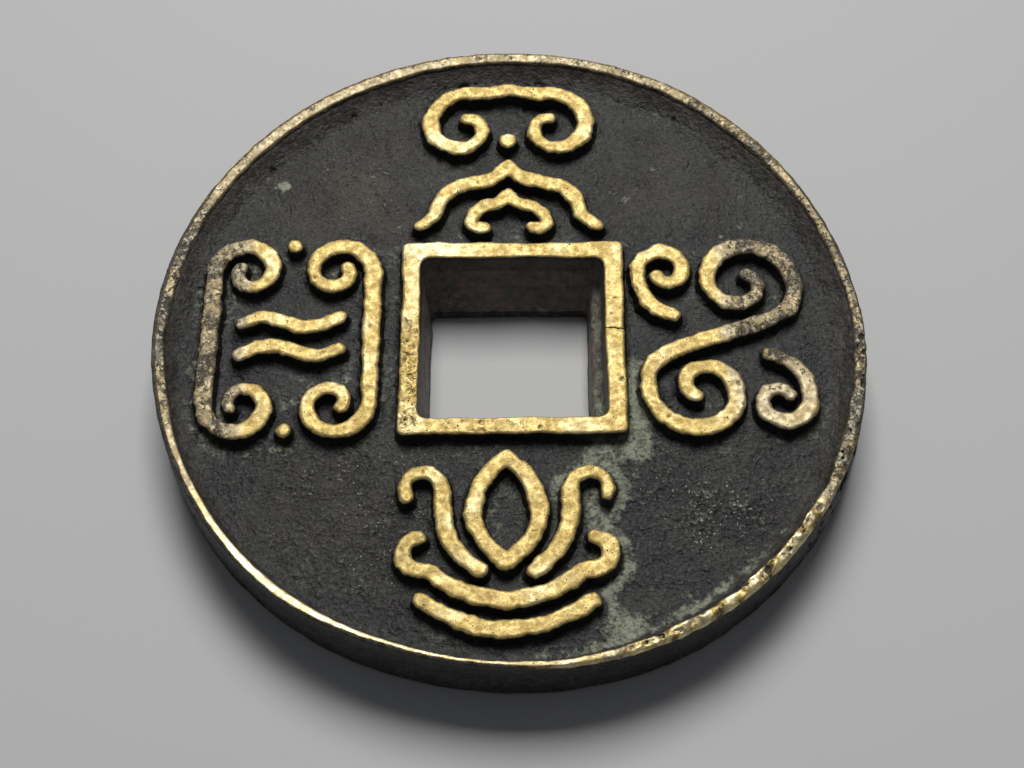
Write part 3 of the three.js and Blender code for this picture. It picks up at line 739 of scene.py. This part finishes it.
def outer_rim_piece():
    pitch = 0.085
    R = 21.1
    axes, p = grid((-R, -R, 3.72), (R, R, 5.12), pitch)
    gx, gy = np.meshgrid(axes[0], axes[1], indexing="ij")
    gr, edge = np.hypot(gx, gy), edge_radius(gx, gy)
    ring = (gr > edge - 2.2) & (gr < edge + 0.4)
    i, j = np.nonzero(ring)
    nz = len(axes[2])
    f = np.ones(gx.shape + (nz,), F32)
    f[~ring] = 1.0
    x, y, r, e = gx[i, j][:, None], gy[i, j][:, None], gr[i, j][:, None], edge[i, j][:, None]
    z = np.broadcast_to(axes[2][None, :], (len(i), nz))
    X, Y = np.broadcast_to(x, z.shape), np.broadcast_to(y, z.shape)
    zero = np.zeros_like(x)
    a, near = rim_angles(x, y)
    wob = 0.05 * noise(x, y, zero, 2.4, 31) + 0.035 * noise(x, y, zero, 0.8, 32)
    crest_out = np.interp(a, CREST[0], CREST[2]).astype(F32)
    calm = 1 - 0.75 * step(0.0, 0.5, near_angle(a, 238, 45))
    knocked = step(0.0, 0.45, near_angle(a, 315, 38))
    shoulder = e - 0.05
    out = r - (shoulder + (0.3 * wob + 0.02 * noise(x, y, z, 0.4, 33)) * calm)
    inn = rim_wall(x, y, z, a, near) - r
    top = (4.988 - 0.020 * (1 + noise(x, y, zero, 3.0, 36)) - 0.012 * (1 + noise(x, y, zero, 0.5, 37)) * calm
           - 0.014 * (1 + noise(x, y, zero, 0.95, 38)) * calm)
    # worn to a slant towards the middle where it shines most
    top = top - 0.16 * np.maximum(0, crest_out - r) * near_angle(a, 236, 48) ** 0.5
    # knocked and scraped slantwise at the lower right
    slant = np.radians(a) * 20.4
    top = top - knocked * (0.060 * step(0.0, 0.8, noise(slant + 0.9 * r, 0.9 * r, zero, 0.75, 48)) + 0.110 * step(0.0, 0.7, noise(x, y, zero, 0.36, 49))
                           + 0.060 * step(-0.2, 0.6, noise(x, y, zero, 0.22, 47)))
    g = meet(meet(out, z - top, np.clip((shoulder - crest_out) * (0.55 + 0.45 * near), 0.07, 0.5) + 0.10 * knocked), inn, 0.09)
    band = np.abs(g) < 0.3
    g = g.astype(F32)
    g[band] += skin(X[band], Y[band], z[band])
    g = np.maximum(g, 3.82 - z)
    f[i, j, :] = g
    rs = np.random.RandomState(41)
    pits = []
    for _ in range(800):
        t = rs.rand() * 2 * math.pi
        e0 = float(edge_radius(math.cos(t), math.sin(t)))
        q = e0 - 0.15 - 0.65 * rs.rand()
        if math.degrees(t) < 285:
            continue
        s = 0.05 + 0.14 * rs.rand() ** 2.2
        pits.append((q * math.cos(t), q * math.sin(t), 4.99 - (0.12 if rs.rand() < 0.3 else 0), s, s * (0.8 + 1.6 * rs.rand()), s * 0.7, t + (rs.rand() - 0.5)))
    for _ in range(34):  # knocks on the outer corner
        t = rs.rand() * 2 * math.pi
        if not 300 < math.degrees(t) < 348:
            continue
        e0 = float(edge_radius(math.cos(t), math.sin(t))) - 0.12
        s = 0.12 + 0.22 * rs.rand() ** 2
        pits.append((e0 * math.cos(t), e0 * math.sin(t), 4.98, s * 0.8, s * 1.5, s * 0.7, t))
    for deg, wide, long, deep, back in ((317.7, 0.10, 0.38, 0.065, 0.35), (313.2, 0.34, 0.16, 0.060, 0.12), (327.7, 0.24, 0.30, 0.045, 0.35), (330.7, 0.09, 0.30, 0.055, 0.30), (304.5, 0.12, 0.20, 0.050, 0.20)):
        t = math.radians(deg)  # nicks across the crest
        e0 = float(edge_radius(math.cos(t), math.sin(t))) - back
        pits.append((e0 * math.cos(t), e0 * math.sin(t), 5.0, long, wide, deep, t + 0.3))
    t = math.radians(244.4)
    pits.append((20.22 * math.cos(t), 20.22 * math.sin(t), 5.02, 0.22, 0.30, 0.09, t))
    t = math.radians(295.7)
    pits.append((20.50 * math.cos(t), 20.50 * math.sin(t), 4.96, 0.11, 0.24, 0.16, t))
    dents(f, axes, pits)

    def paint(x, y, z, n, pit):
        a, near = rim_angles(x, y)
        r = np.hypot(x, y)
        zero = 0 * x
        past = r - np.interp(a, CREST[0], CREST[2])
        # how clean the metal is, round the coin
        clean = np.interp(a, [0, 12, 30, 45, 60, 80, 100, 120, 145, 160, 180, 195, 208, 218, 280, 292, 312, 327, 338, 360],
                          [0.22, 0.30, 0.48, 0.28, 0.48, 0.60, 0.72, 0.72, 0.54, 0.18, 0.18, 0.50, 0.85, 1.0, 1.0, 1.0, 0.98, 0.85, 0.22, 0.22])
        patch = noise(x, y, zero, 1.3, 43) + 0.5 * noise(x, y, zero, 0.5, 44)
        dull = np.clip(1.0 - clean + 0.22 * patch * step(1.0, 0.9, clean), 0, 1)
        t = 4.90 - z + 0.04 * noise(x, y, z, 0.8, 42)
        outer = np.maximum(step(-0.05, 0.10, past + 0.05 * noise(x, y, z, 0.5, 45)), step(0.75, 0.45, n[:, 2]) * (past > -0.15))
        low_right = step(0.0, 0.45, near_angle(a, 307, 40))
        # past the crest the corner is brown; at the lower right it is still half bare
        wear = step(0.24, 0.05, t) * step(0.15, 0.6, n[:, 2]) * (1 - outer * (1 - 0.85 * low_right))
        wear = np.maximum(wear, 1.1 * step(0.0, 0.7, low_right) * (past > -0.2) * step(0.50, 0.34, t + 0.20 * (1 - low_right) + 0.08 * noise(x, y, z, 0.5, 46)))
        # the far corner is rubbed to a dull brown
        wear = np.maximum(wear, 0.60 * step(0.0, 0.25, near_angle(a, 92, 72)) * outer * step(0.28, 0.12, t))
        inside = step(0.02, -0.12, r - np.interp(a, CREST[0], CREST[1])) * step(0.9, 0.5, n[:, 2])
        top_side = step(4.40, 4.7, z)
        along = np.radians(a) * 20.4 + 1.2 * r
        rope = 0.6 * noise(along, 0.7 * r, zero, 0.55, 48) + 0.6 * noise(x, y, zero, 0.32, 49) + 0.4 * noise(x, y, zero, 0.20, 47)
        wear = wear * (1 - 0.50 * low_right * step(0.15, 0.55, rope) - 0.05 * low_right * outer)
        mottled = low_right * (0.34 * step(0.05, 0.55, noise(x, y, zero, 0.34, 53)) + 0.10 * step(0.1, 0.6, noise(x, y, zero, 0.9, 60)))
        tone = np.maximum(np.maximum(dull, mottled), outer * (0.6 - 0.58 * low_right)) * top_side
        dust = dust_at(x, y) * step(4.8, 4.05, z) * (1 - inside) + 0.20 * dull * top_side
        # painted highlight: the near-left crest and the high parts of the lower right are painted paler, as well as
        # polished smoother
        polish_and_highlight = np.clip(1.5 * near_angle(a, 232, 34) + 0.6 * near_angle(a, 262, 34) + 0.5 * near_angle(a, 300, 16), 0, 1)
        polish_and_highlight = np.maximum(polish_and_highlight * (1 - 0.8 * low_right * (a > 285)), low_right * step(0.15, -0.30, rope) * (1 - 0.25 * outer))
        # painted fill light: the rim's inner wall, and its outer corner away from the near side, are painted lighter in
        # a brown-grey dirt colour
        fill_light_and_dirt = inside * (0.28 - 0.1 * near) + 0.20 * outer * (1 - low_right) * (1 - near)
        foot = inside * step(4.35, 4.05, z) * near_angle(a, 300, 40) ** 0.5
        return {"wear": wear, "dust": np.clip(dust, 0, 1) * (1 - foot), "tone": tone, "polish_and_highlight": polish_and_highlight, "fill_light_and_dirt": fill_light_and_dirt, "coarse_and_glints": 0.5 * low_right, "cav": foot}

    ob = solidify("obverse_outer_rim_cast", f, axes, p, paint)
    return finish_piece(ob, "obverse_outer_rim", BRASS)


def inner_rim_piece():
    pitch = 0.075
    axes, p = grid((-7.0, -7.1, 3.70), (7.3, 7.0, 5.12), pitch)
    gx, gy = np.meshgrid(axes[0], axes[1], indexing="ij")
    zero = np.zeros_like(gx)
    outer = box_distance(gx, gy, HOLE_X, HOLE_Y, INNER_RIM[0] / 2 - 0.04, INNER_RIM[1] / 2 - 0.04, 0.38)
    outer = outer + 0.085 * noise(gx, gy, zero, 2.1, 51) + 0.05 * noise(gx, gy, zero, 0.6, 52) + 0.02 * noise(gx, gy, zero, 0.3, 57)
    top = (4.975 - 0.025 * (1 + noise(gx, gy, zero, 2.4, 53)) - 0.016 * (1 + noise(gx, gy, zero, 0.95, 54))
           - 0.015 * (1 + noise(gx, gy, zero, 0.5, 55)) - 0.010 * (1 + noise(gx, gy, zero, 0.28, 29)))
    X, Y, Z = np.meshgrid(*axes, indexing="ij")
    low = np.clip(top[:, :, None] - Z, 0, 2)
    side = outer[:, :, None] - 0.13 * low - 0.07 * np.exp(-np.maximum(Z - 4.0, 0) / 0.18)
    f = meet(side, Z - top[:, :, None], 0.17)
    hole = np.ones_like(f) * -9
    m = np.abs(f) < 3
    hole[m] = -hole_distance(X[m], Y[m], Z[m]) - 0.02
    f = meet(f, hole, 0.12)
    band = np.abs(f) < 0.3
    f[band] += skin(X[band], Y[band], Z[band])
    f = np.maximum(f, 3.82 - Z).astype(F32)
    rs = np.random.RandomState(56)
    pits = []

    def pit(x, y, s, deep=0.9, long=1.0, turn=0.0):
        pits.append((x, y, 4.965, s, s * long, s * deep, turn))

    for _ in range(90):  # scattered all round
        t = rs.rand() * 4
        u, v = (rs.rand() * 2 - 1) * 6.3, 5.5 + rs.rand() * 0.85
        x, y = [(u, v), (v, u), (u, -v), (-v, u)][int(t)]
        pit(x + HOLE_X, y + HOLE_Y, 0.035 + 0.06 * rs.rand() ** 2, 0.9, 1.0 + 1.5 * rs.rand(), rs.rand() * 3)
    for _ in range(290):  # the lower left side is the most pitted
        y = -6.0 + 7.0 * rs.rand() ** 1.2
        pit(HOLE_X - 5.5 - 1.0 * rs.rand(), HOLE_Y + y, 0.045 + 0.095 * rs.rand() ** 1.3, 1.1, 1.0 + 1.6 * rs.rand(), rs.rand() * 3)
    for _ in range(60):  # and the near side's left half
        pit(HOLE_X - 6.2 + 8 * rs.rand(), HOLE_Y - 5.5 - 0.85 * rs.rand(), 0.05 + 0.10 * rs.rand() ** 2)
    for y, w in ((2.45, 0.035), (1.75, 0.035), (0.41, 0.055)):  # hair cracks across the right side
        pit(HOLE_X + 6.0, HOLE_Y + y, w, 1.6, 0.62 / w, math.pi / 2 + 0.1 * (rs.rand() - 0.5))
    for u, v, r in ((-5.55, -5.35, 0.15), (-6.25, -4.7, 0.13), (-5.75, -4.2, 0.10), (-6.2, -5.9, 0.12), (-6.3, -3.1, 0.10), (-5.7, -2.5, 0.09), (-1.7, -5.75, 0.15), (-1.45, -5.7, 0.10), (-1.7, 6.0, 0.11), (-5.95, 2.3, 0.10), (6.25, -3.0, 0.14), (6.2, -0.7, 0.10)):
        pit(HOLE_X + u, HOLE_Y + v, r, 0.8, 1.25, rs.rand() * 3)
    dents(f, axes, pits)

    def paint(x, y, z, n, pit):
        t = 4.87 - z + 0.05 * noise(x, y, z, 0.9, 58) + 0.05 * noise(x, y, z, 0.3, 28)
        dull = 0.6 * dull_at(x, y)
        wear = step(0.20, 0.06, t) * step(0.15, 0.70, n[:, 2])
        inside = hole_distance(x, y, z) < 0.25
        dust = np.where(inside, 0.12, dust_at(x, y) * step(4.75, 4.15, z))
        tone = np.maximum(np.where(inside, 0.75, 0.1) * step(4.8, 4.5, z), dull * step(4.5, 4.75, z))
        # painted highlight, with polish, in the rubbed patches
        polish_and_highlight = 0.8 * polish_and_highlight_at(x, y) * (1 - dull)
        crack = 0 * x
        for y0, lean, dark in ((2.45, 0.10, 0.45), (1.75, 0.05, 0.35), (0.41, -0.06, 1.0)):
            line = HOLE_Y + y0 + lean * (x - HOLE_X - 6.0) + 0.05 * noise(x, y, 0 * x, 0.35, 59)
            crack = np.maximum(crack, dark * step(0.055, 0.025, np.abs(y - line)) * (x > HOLE_X + 5.2))
        # painted fill light: the walls of the hole are painted lighter in a brown-grey dirt colour
        return {"wear": wear, "dust": dust, "tone": tone, "polish_and_highlight": polish_and_highlight, "fill_light_and_dirt": np.where(inside, 0.55, 0) * step(4.8, 4.5, z), "coarse_and_glints": pitted_at(x, y),
                "cav": np.maximum(np.where(inside, 0.35, 0.9) * step(0.10, 0.24, t), crack)}

    ob = solidify("obverse_inner_rim_cast", f, axes, p, paint)
    return finish_piece(ob, "obverse_inner_rim", BRASS)


def reverse_outer_rim_piece():
    pitch = 0.13
    R = 21.1
    axes, p = grid((-R, -R, -0.12), (R, R, 0.80), (pitch, pitch, pitch * 0.8))
    gx, gy = np.meshgrid(axes[0], axes[1], indexing="ij")
    gr, edge = np.hypot(gx, gy), edge_radius(gx, gy)
    ring = (gr > edge - 2.9) & (gr < edge + 0.4)
    i, j = np.nonzero(ring)
    nz = len(axes[2])
    f = np.ones(gx.shape + (nz,), F32)
    x, y, r, e = gx[i, j][:, None], gy[i, j][:, None], gr[i, j][:, None], edge[i, j][:, None]
    z = np.broadcast_to(axes[2][None, :], (len(i), nz))
    X, Y = np.broadcast_to(x, z.shape), np.broadcast_to(y, z.shape)
    zero = np.zeros_like(x)
    out = r - (e - 0.12 + swell(x, y, zero) - 0.22 * step(0.55, 0.0, z) + 0.03 * noise(x, y, zero, 0.8, 61))
    inn = (e - 1.85 - 0.35 * step(0.0, 0.5, z) + 0.09 * noise(x, y, zero, 2.0, 62) + 0.05 * noise(x, y, zero, 0.7, 63)) - r
    base = 0.02 + 0.012 * (1 + noise(x, y, zero, 2.6, 64)) + 0.01 * (1 + noise(x, y, zero, 0.6, 65))
    g = meet(meet(out, base - z, 0.16), inn, 0.14).astype(F32)
    band = np.abs(g) < 0.3
    g[band] += skin(X[band], Y[band], z[band])
    g = np.maximum(g, z - 0.66)
    f[i, j, :] = g
    rs = np.random.RandomState(66)
    pits = []
    for _ in range(300):
        t = rs.rand() * 2 * math.pi
        q = 20.2 - 1.4 * rs.rand()
        s = 0.08 + 0.2 * rs.rand() ** 2
        pits.append((q * math.cos(t), q * math.sin(t), 0.0, s, s * (0.7 + rs.rand()), s * 0.8, rs.rand() * 3))
    dents(f, axes, pits)

    def paint(x, y, z, n, pit):
        wear = step(0.16, 0.03, z) * step(-0.5, -0.9, n[:, 2]) * (0.5 + 0.25 * noise(x, y, 0 * x, 2.2, 67))
        return {"wear": wear, "dust": 0.10 + 0.1 * noise(x, y, 0 * x, 1.6, 68), "tone": 0.35 + 0 * x, "polish_and_highlight": 0 * x, "fill_light_and_dirt": 0 * x, "coarse_and_glints": 0.4 + 0 * x}

    ob = solidify("reverse_outer_rim_cast", f, axes, p, paint)
    return finish_piece(ob, "reverse_outer_rim", RUBBED)


def reverse_inner_rim_piece():
    pitch = 0.12
    axes, p = grid((-7.4, -7.4, -0.12), (7.7, 7.3, 0.80), (pitch, pitch, pitch * 0.8))
    gx, gy = np.meshgrid(axes[0], axes[1], indexing="ij")
    zero = np.zeros_like(gx)
    outer = box_distance(gx, gy, HOLE_X, HOLE_Y, REVERSE_INNER_RIM[0] / 2 - 0.05, REVERSE_INNER_RIM[1] / 2 - 0.05, 0.55)
    outer = outer + 0.09 * noise(gx, gy, zero, 2.1, 71) + 0.05 * noise(gx, gy, zero, 0.7, 72)
    base = 0.03 + 0.02 * (1 + noise(gx, gy, zero, 2.4, 73)) + 0.01 * (1 + noise(gx, gy, zero, 0.5, 74))
    X, Y, Z = np.meshgrid(*axes, indexing="ij")
    f = meet(outer[:, :, None] - 0.1 * Z, base[:, :, None] - Z, 0.14)
    f = meet(f, -hole_distance(X, Y, Z) - 0.02, 0.12)
    band = np.abs(f) < 0.3
    f[band] += skin(X[band], Y[band], Z[band])
    f = np.maximum(f, Z - 0.66).astype(F32)
    rs = np.random.RandomState(75)
    pits = []
    for _ in range(130):
        u, v = (rs.rand() * 2 - 1) * 6.5, 5.2 + rs.rand() * 1.5
        x, y = [(u, v), (v, u), (u, -v), (-v, u)][rs.randint(4)]
        s = 0.07 + 0.16 * rs.rand() ** 2
        pits.append((x + HOLE_X, y + HOLE_Y, 0.0, s, s * (0.7 + rs.rand()), s * 0.8, rs.rand() * 3))
    dents(f, axes, pits)

    def paint(x, y, z, n, pit):
        wear = step(0.16, 0.03, z) * step(-0.5, -0.9, n[:, 2]) * (0.5 + 0.25 * noise(x, y, 0 * x, 2.2, 76))
        return {"wear": wear, "dust": 0.12 + 0.1 * noise(x, y, 0 * x, 1.6, 77), "tone": 0.35 + 0 * x, "polish_and_highlight": 0 * x, "fill_light_and_dirt": 0 * x, "coarse_and_glints": 0.4 + 0 * x}

    ob = solidify("reverse_inner_rim_cast", f, axes, p, paint)
    return finish_piece(ob, "reverse_inner_rim", RUBBED)


# ---------------------------------------------------------------- the flan
def flan_piece():
    pitch = 0.105
    R = 21.0
    axes, p = grid((-R, -R, 0.20), (R, R, 4.75), (pitch, pitch, pitch))
    gx, gy = np.meshgrid(axes[0], axes[1], indexing="ij")
    gr, edge = np.hypot(gx, gy), edge_radius(gx, gy)
    nz = len(axes[2])
    f = np.empty(gx.shape + (nz,), F32)
    zero = np.zeros_like(gx)
    hole_near = box_distance(gx, gy, HOLE_X, HOLE_Y, HOLE_W / 2, HOLE_D / 2, 0.5)
    # the grain fades out under rims and strokes, where nothing shows
    cover = step(-0.35, -0.05, np.minimum(stroke_distance(gx, gy), rim_distance(gx, gy)))
    relief = field_relief(gx, gy, zero) * cover
    # small craters and nodules of the casting
    top = 3.955 + relief
    # it climbs a little against the feet of the strokes and of the inner rim
    foot = np.exp(-np.maximum(np.minimum(stroke_distance(gx, gy), box_distance(gx, gy, HOLE_X, HOLE_Y, 6.55, 6.42, 0.4)), 0) / 0.20)
    top = top + 0.04 * dust_at(gx, gy) * cover
    top = top + 0.30 * foot * (0.65 + 0.35 * noise(gx, gy, zero, 0.9, 87)) * (hole_near > 0.9)
    back_cover = step(2.0, 2.4, edge - gr) * step(0.0, 0.3, box_distance(gx, gy, HOLE_X, HOLE_Y, 6.6, 6.5, 0.5))
    under = 0.56 + (0.05 * noise(gx, gy, zero, 2.4, 15) + 0.045 * noise(gx, gy, zero, 0.9, 16) + 0.02 * noise(gx, gy, zero, 0.5, 17)) * back_cover
    work = (gr > edge - 0.6) | (hole_near < 1.6)
    ring = gr > 17.6
    rx, ry = gx[ring], gy[ring]
    ra, rnear = rim_angles(rx, ry)
    blend = (1.15 - 0.75 * rnear) * (1 + 0.2 * noise(rx, ry, 0 * rx, 2.0, 98))
    for k, z in enumerate(axes[2]):
        flat = np.maximum(top * -1 + z, under - z).astype(F32)
        # up the inner wall of the outer rim the field rises in a soft curve
        wall = rim_wall(rx, ry, np.full_like(rx, z), ra, rnear) + 0.04 - gr[ring]
        near_both = np.clip(1 - np.abs(flat[ring] - wall) / blend, 0, 1)
        rise = np.minimum(flat[ring], wall) - near_both * near_both * blend / 4
        rise = np.maximum(rise, z - 4.66)
        if z > 3.95:
            rise = np.maximum(rise, gr[ring] - (edge[ring] - 0.30))
        flat[ring] = np.maximum(rise, (under - z)[ring])
        f[:, :, k] = flat
        x, y = gx[work], gy[work]
        zz = np.full_like(x, z)
        a = np.arctan2(y, x)
        # file marks run slantwise round the edge over a faint seam
        marks = 0.022 * noise(a * 60 + z * 2.2, z * 1.5, 0 * x, 1.0, 81) + 0.018 * noise(a * 160 + z * 3.0, z * 2, 0 * x, 1.0, 82)
        seam = 0.05 * np.exp(-(((z - 2.45 - 0.15 * noise(x, y, 0 * x, 6.0, 83)) / 0.12) ** 2))
        bulge = 0.06 * (1 - ((z - 2.3) / 2.0) ** 2)
        out = gr[work] - (edge[work] - 0.17 + swell(x, y, zz) + bulge + seam + marks + 0.03 * noise(x, y, zz, 1.6, 84) + 0.02 * noise(x, y, zz, 0.4, 85))
        hole = -hole_distance(x, y, zz) + 0.03 * noise(x, y, zz, 0.45, 86) + 0.05 * np.exp(-(((z - 2.55) / 0.14) ** 2))
        f[:, :, k][work] = np.maximum(np.maximum(f[:, :, k][work], out), hole)
    rs = np.random.RandomState(88)
    pits = []
    for _ in range(900):
        t, q = rs.rand() * 2 * math.pi, 19.0 * math.sqrt(rs.rand())
        s = 0.10 + 0.20 * rs.rand() ** 3
        pits.append((q * math.cos(t), q * math.sin(t), 4.04, s, s * (0.7 + 0.8 * rs.rand()), 0.06 + 0.07 * rs.rand(), rs.rand() * 3))
    for _ in range(300):
        t = rs.rand() * 2 * math.pi
        e0 = float(edge_radius(math.cos(t), math.sin(t))) - 0.05
        s = 0.12 + 0.22 * rs.rand() ** 2
        pits.append((e0 * math.cos(t), e0 * math.sin(t), 0.7 + 3.1 * rs.rand(), 0.14, s, s, t))
    for _ in range(500):
        t, q = rs.rand() * 2 * math.pi, 19.0 * math.sqrt(rs.rand())
        s = 0.12 + 0.28 * rs.rand() ** 3
        pits.append((q * math.cos(t), q * math.sin(t), 0.46, s, s * (0.7 + 0.8 * rs.rand()), 0.08 + 0.08 * rs.rand(), rs.rand() * 3))
    dents(f, axes, pits)

    def paint(x, y, z, n, pit):
        up, down = step(0.3, 0.8, n[:, 2]), step(-0.3, -0.8, n[:, 2])
        r = np.hypot(x, y)
        a, near = rim_angles(x, y)
        field = up * step(3.5, 3.8, z)
        crest = np.clip(-pit / 0.022, 0, 1)
        sparks = field * sparks_at(x, y) * (0.06 + 0.26 * crest)
        wall = step(19.0, 19.5, r + 0.4 * near_angle(a, 90, 120) + 0.15 * noise(x, y, 0 * x, 1.2, 99)) * step(3.98, 4.10, z)
        reverse = down * (0.08 + 0.30 * crest)
        edge_wear = (1 - up - down) * 0.10
        wear = np.clip(sparks + reverse + edge_wear, 0, 1)
        side = 1 - up - down
        hole = (np.abs(box_distance(x, y, HOLE_X, HOLE_Y, HOLE_W / 2, HOLE_D / 2, 0.5)) < 2.2) * step(3.9, 3.7, z) * step(0.45, 0.60, z)
        ledge = hole * step(4.6, 5.2, x - 0.6 * step(2.0, 4.0, z)) * step(3.6, 2.6, z)
        rest = np.clip(side - hole, 0, 1)
        dust = (field * dust_at(x, y) + down * 0.25 * step(0.0, 0.6, noise(x, y, 0 * x, 2.8, 89)) + rest * 0.05
                + ledge * 0.30 + hole * (0.22 + 0.25 * step(4.0, 5.0, x)) * step(0.0, 0.7, noise(x, y, z, 1.2, 90)))
        tone = field * brown_at(x, y) + down * 0.35 + hole * 0.8 + rest * 0.05
        # painted fill light: the hole's walls and the climb up the outer rim are painted lighter in a brown-grey dirt
        # colour
        fill_light_and_dirt = np.clip(wall * 0.22 + hole * (0.80 + 0.35 * noise(x, y, z, 1.3, 100)), 0, 1)
        # coarse grain, and where painted glints cluster on the field
        coarse_and_glints = field * sparks_at(x, y) * (1 - wall) + down * 0.5 + rest * 0.1
        feet = np.minimum(np.maximum(stroke_distance(x, y), 0), np.maximum(box_distance(x, y, HOLE_X, HOLE_Y, INNER_RIM[0] / 2, INNER_RIM[1] / 2, 0.4), 0))
        crease = field * (np.exp(-np.maximum(feet - 0.06, 0) / 0.09) + np.exp(-np.abs(np.interp(a, CREST[0], CREST[1]) - 0.24 - r) / 0.06) * near_angle(a, 300, 40) ** 0.5)
        return {"wear": wear * (1 - wall), "dust": dust * (1 - 0.6 * wall), "tone": tone * (1 - wall), "polish_and_highlight": 0 * x, "fill_light_and_dirt": fill_light_and_dirt, "coarse_and_glints": coarse_and_glints,
                "cav": 0.85 * np.clip(crease, 0, 1) * (hole == 0)}

    ob = solidify("flan_cast", f, axes, p, paint)
    # flat hidden places need few faces
    bpy.context.view_layer.objects.active = ob
    dec = ob.modifiers.new("fewer_faces", "DECIMATE")
    dec.ratio = min(1.0, 186000 / (len(ob.data.polygons) * 2))
    bpy.context.view_layer.update()
    done = bpy.data.meshes.new_from_object(ob.evaluated_get(bpy.context.evaluated_depsgraph_get()))
    ob.modifiers.clear()
    old = ob.data
    ob.data = done
    bpy.data.meshes.remove(old)
    return finish_piece(ob, "flan", SKIN)


flan_piece()
outer_rim_piece()
inner_rim_piece()
reverse_outer_rim_piece()
reverse_inner_rim_piece()
for _n, _name in enumerate(STROKES):
    stroke_piece(_name, _n)


# ---------------------------------------------------------------- floor, light and camera
def plain(name, colour, rough):
    mat = bpy.data.materials.new(name)
    mat.use_nodes = True
    b = mat.node_tree.nodes["Principled BSDF"]
    b.inputs["Base Color"].default_value = (*colour, 1)
    b.inputs["Roughness"].default_value = rough
    return mat


bpy.ops.mesh.primitive_plane_add(size=2.0, location=(0, 0, 0))
floor = bpy.context.object
floor.name = "floor"
floor.data.materials.append(plain("floor_pale", (0.56, 0.56, 0.565), 0.6))

world = bpy.data.worlds.new("studio")
world.use_nodes = True
world.node_tree.nodes["Background"].inputs["Color"].default_value = (0.92, 0.95, 1.0, 1)
world.node_tree.nodes["Background"].inputs["Strength"].default_value = 0.10
bpy.context.scene.world = world


def area(name, where, aim, size, power, colour=(1, 1, 1)):
    data = bpy.data.lights.new(name, "AREA")
    data.shape = "RECTANGLE"
    data.size, data.size_y = size
    data.energy = power
    data.color = colour
    ob = bpy.data.objects.new(name, data)
    bpy.context.scene.collection.objects.link(ob)
    ob.location = where
    d = np.array(aim, float) - np.array(where, float)
    from mathutils import Vector
    ob.rotation_mode = "QUATERNION"
    ob.rotation_quaternion = Vector(d).to_track_quat("-Z", "Y")
    return ob


area("window", (0.0, 0.2295, 0.387), (0, 0, 0), (0.20, 0.20), 1.62, (1.0, 0.99, 0.97))

cam_data = bpy.data.cameras.new("camera")
cam_data.sensor_width = 36.0
cam_data.lens = 1741.36 * 36.0 / 1024.0
cam_data.clip_start, cam_data.clip_end = 0.002, 10.0
cam = bpy.data.objects.new("camera", cam_data)
bpy.context.scene.collection.objects.link(cam)
right = np.array([0.99996732, -0.00350632, -0.00728431])
down = np.array([-0.00654531, -0.87999888, -0.47493065])
ahead = np.array([-0.00474492, 0.47496281, -0.87999308])
m = Matrix.Identity(4)
for r in range(3):
    m[r][0], m[r][1], m[r][2] = right[r], -down[r], -ahead[r]
m[0][3], m[1][3], m[2][3] = 0.0006988, -0.0507904, 0.0925266
cam.matrix_world = m
bpy.context.scene.camera = cam
bpy.context.scene.view_settings.view_transform = "Standard"
